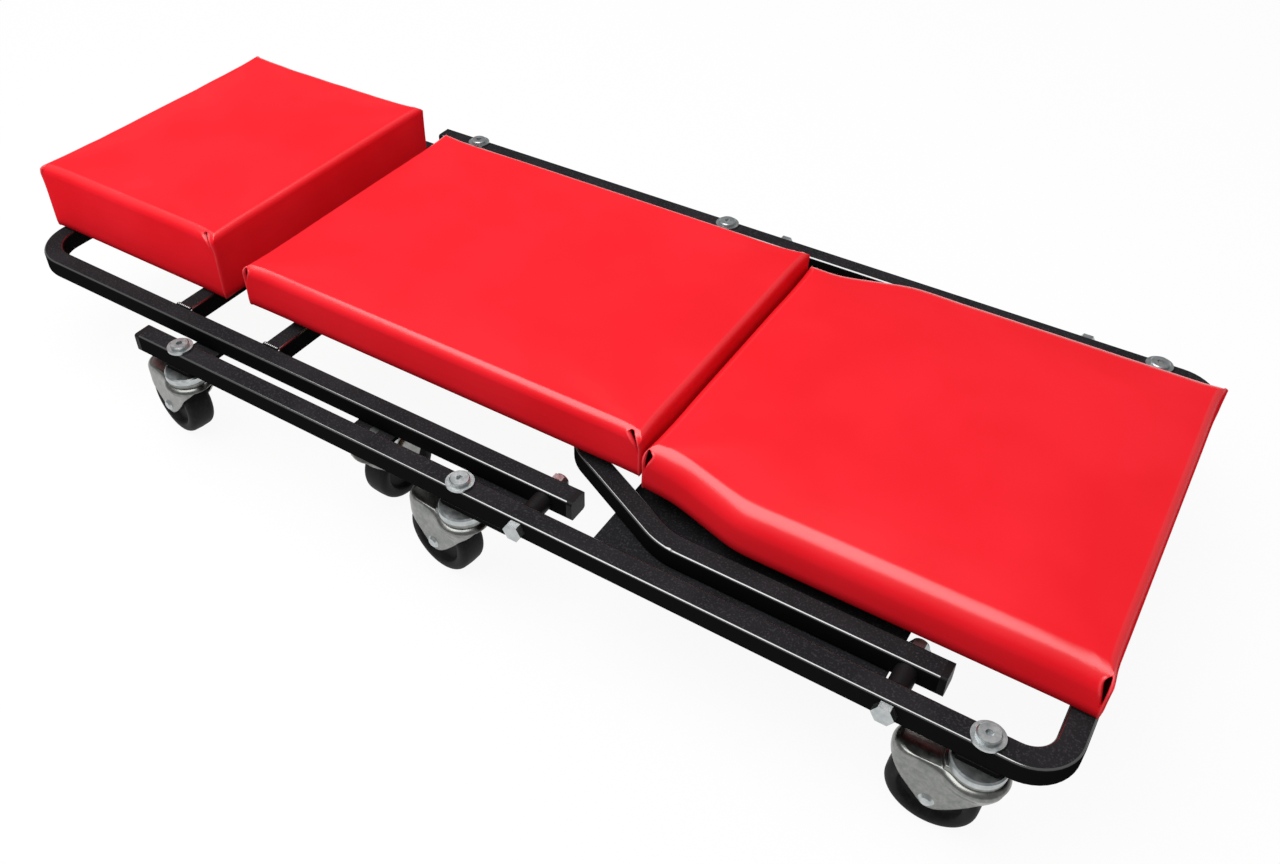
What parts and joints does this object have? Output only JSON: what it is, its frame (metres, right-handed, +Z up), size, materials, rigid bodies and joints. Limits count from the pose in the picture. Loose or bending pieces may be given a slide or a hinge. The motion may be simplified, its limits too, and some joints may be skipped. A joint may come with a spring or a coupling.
{
  "type": "creeper seat",
  "caption": "Low wheeled creeper with red padded cushions on a black square-tube frame; its head and link frames fold up about side pivots to make a seat with a backrest.",
  "frame": {"origin": "on the floor, below the middle of the part's overall length and width", "axes": "+X from the head end to the foot end, +Y to the left of somebody who lies on it face up, +Z up"},
  "size_m": [1.016, 0.472, 0.1712],
  "materials": {
    "powder_coat": "fine-textured satin black powder coat",
    "red_vinyl": "smooth satin-gloss vinyl upholstery over foam",
    "plywood": "unfinished plywood",
    "zinc": "bright zinc plating",
    "wheel_rubber": "matt charcoal hard rubber",
    "black_plastic": "matt black moulded plastic"
  },
  "bodies": {
    "base": {"base_frame": "powder_coat", "base_end_plugs": "black_plastic", "head_rest_plates": "powder_coat", "mid_rest_plates": "powder_coat", "foot_caster_plates": "powder_coat", "inner_caster_plates": "powder_coat", "foot_tray": "powder_coat", "foot_rails": "powder_coat", "foot_board": "plywood", "foot_cushion": "red_vinyl", "foot_pad_screws": "zinc", "caster_stems": "zinc", "caster_bolts": "zinc", "pivot_bolts": "zinc", "pivot_spacers": "black_plastic", "pivot_nuts": "zinc"},
    "back": {"back_frame": "powder_coat", "back_cross_head": "powder_coat", "back_cross_seat": "powder_coat", "back_hinge_lugs": "powder_coat", "back_end_plugs": "black_plastic", "head_board": "plywood", "head_cushion": "red_vinyl", "head_pad_screws": "zinc", "back_seat_pins": "zinc"},
    "link": {"link_frame": "powder_coat", "link_hinge_lugs": "powder_coat", "link_end_plugs": "black_plastic", "link_seat_pins": "zinc"},
    "seat": {"seat_board": "plywood", "seat_cushion": "red_vinyl", "seat_ears_back": "powder_coat", "seat_ears_link": "powder_coat", "seat_screws": "zinc"},
    "fork_head_right": {"caster_fork_head_right": "zinc", "caster_axle_head_right": "zinc"},
    "wheel_head_right": {"caster_wheel_head_right": "wheel_rubber"},
    "fork_mid_right": {"caster_fork_mid_right": "zinc", "caster_axle_mid_right": "zinc"},
    "wheel_mid_right": {"caster_wheel_mid_right": "wheel_rubber"},
    "fork_foot_right": {"caster_fork_foot_right": "zinc", "caster_axle_foot_right": "zinc"},
    "wheel_foot_right": {"caster_wheel_foot_right": "wheel_rubber"},
    "fork_inner_right": {"caster_fork_inner_right": "zinc", "caster_axle_inner_right": "zinc"},
    "wheel_inner_right": {"caster_wheel_inner_right": "wheel_rubber"},
    "fork_head_left": {"caster_fork_head_left": "zinc", "caster_axle_head_left": "zinc"},
    "wheel_head_left": {"caster_wheel_head_left": "wheel_rubber"},
    "fork_mid_left": {"caster_fork_mid_left": "zinc", "caster_axle_mid_left": "zinc"},
    "wheel_mid_left": {"caster_wheel_mid_left": "wheel_rubber"},
    "fork_foot_left": {"caster_fork_foot_left": "zinc", "caster_axle_foot_left": "zinc"},
    "wheel_foot_left": {"caster_wheel_foot_left": "wheel_rubber"},
    "fork_inner_left": {"caster_fork_inner_left": "zinc", "caster_axle_inner_left": "zinc"},
    "wheel_inner_left": {"caster_wheel_inner_left": "wheel_rubber"}
  },
  "joints": [
    {"name": "back_fold", "type": "hinge", "parent": "base", "child": "back", "pos_m": [0.10363, 0, 0.091], "axis": [0, 1, 0], "range_deg": [0, 90]},
    {"name": "link_fold", "type": "hinge", "parent": "base", "child": "link", "pos_m": [0.39314, 0, 0.091], "axis": [0, 1, 0], "range_deg": [0, 90]},
    {"name": "seat_level", "type": "hinge", "parent": "back", "child": "seat", "pos_m": [-0.21293, 0, 0.094], "axis": [0, 1, 0], "range_deg": [-90, 0]},
    {"name": "swivel_head_right", "type": "hinge", "parent": "base", "child": "fork_head_right", "pos_m": [-0.26068, -0.2145, 0.0699], "axis": [0, 0, 1], "continuous": true},
    {"name": "spin_head_right", "type": "hinge", "parent": "fork_head_right", "child": "wheel_head_right", "pos_m": [-0.28185, -0.21077, 0.032], "axis": [-0.1736, -0.9848, 0], "continuous": true},
    {"name": "swivel_mid_right", "type": "hinge", "parent": "base", "child": "fork_mid_right", "pos_m": [0.04543, -0.2145, 0.0699], "axis": [0, 0, 1], "continuous": true},
    {"name": "spin_mid_right", "type": "hinge", "parent": "fork_mid_right", "child": "wheel_mid_right", "pos_m": [0.02414, -0.21151, 0.032], "axis": [-0.1392, -0.9903, 0], "continuous": true},
    {"name": "swivel_foot_right", "type": "hinge", "parent": "base", "child": "fork_foot_right", "pos_m": [0.4548, -0.2145, 0.0699], "axis": [0, 0, 1], "continuous": true},
    {"name": "spin_foot_right", "type": "hinge", "parent": "fork_foot_right", "child": "wheel_foot_right", "pos_m": [0.4333, -0.2145, 0.032], "axis": [0, -1, 0], "continuous": true},
    {"name": "swivel_inner_right", "type": "hinge", "parent": "base", "child": "fork_inner_right", "pos_m": [-0.06357, -0.1906, 0.0699], "axis": [0, 0, 1], "continuous": true},
    {"name": "spin_inner_right", "type": "hinge", "parent": "fork_inner_right", "child": "wheel_inner_right", "pos_m": [-0.06244, -0.16913, 0.032], "axis": [-0.9986, 0.0523, 0], "continuous": true},
    {"name": "swivel_head_left", "type": "hinge", "parent": "base", "child": "fork_head_left", "pos_m": [-0.26068, 0.2145, 0.0699], "axis": [0, 0, 1], "continuous": true},
    {"name": "spin_head_left", "type": "hinge", "parent": "fork_head_left", "child": "wheel_head_left", "pos_m": [-0.28206, 0.21675, 0.032], "axis": [-0.1045, -0.9945, 0], "continuous": true},
    {"name": "swivel_mid_left", "type": "hinge", "parent": "base", "child": "fork_mid_left", "pos_m": [0.04543, 0.2145, 0.0699], "axis": [0, 0, 1], "continuous": true},
    {"name": "spin_mid_left", "type": "hinge", "parent": "fork_mid_left", "child": "wheel_mid_left", "pos_m": [0.02401, 0.21263, 0.032], "axis": [0.0872, -0.9962, 0], "continuous": true},
    {"name": "swivel_foot_left", "type": "hinge", "parent": "base", "child": "fork_foot_left", "pos_m": [0.4548, 0.2145, 0.0699], "axis": [0, 0, 1], "continuous": true},
    {"name": "spin_foot_left", "type": "hinge", "parent": "fork_foot_left", "child": "wheel_foot_left", "pos_m": [0.43331, 0.21525, 0.032], "axis": [-0.0349, -0.9994, 0], "continuous": true},
    {"name": "swivel_inner_left", "type": "hinge", "parent": "base", "child": "fork_inner_left", "pos_m": [-0.06357, 0.1906, 0.0699], "axis": [0, 0, 1], "continuous": true},
    {"name": "spin_inner_left", "type": "hinge", "parent": "fork_inner_left", "child": "wheel_inner_left", "pos_m": [-0.06282, 0.16911, 0.032], "axis": [0.9994, 0.0349, 0], "continuous": true}
  ],
  "couplings": [
    {"joint": "link_fold", "follows": "back_fold", "ratio": 1},
    {"joint": "seat_level", "follows": "back_fold", "ratio": -1}
  ]
}
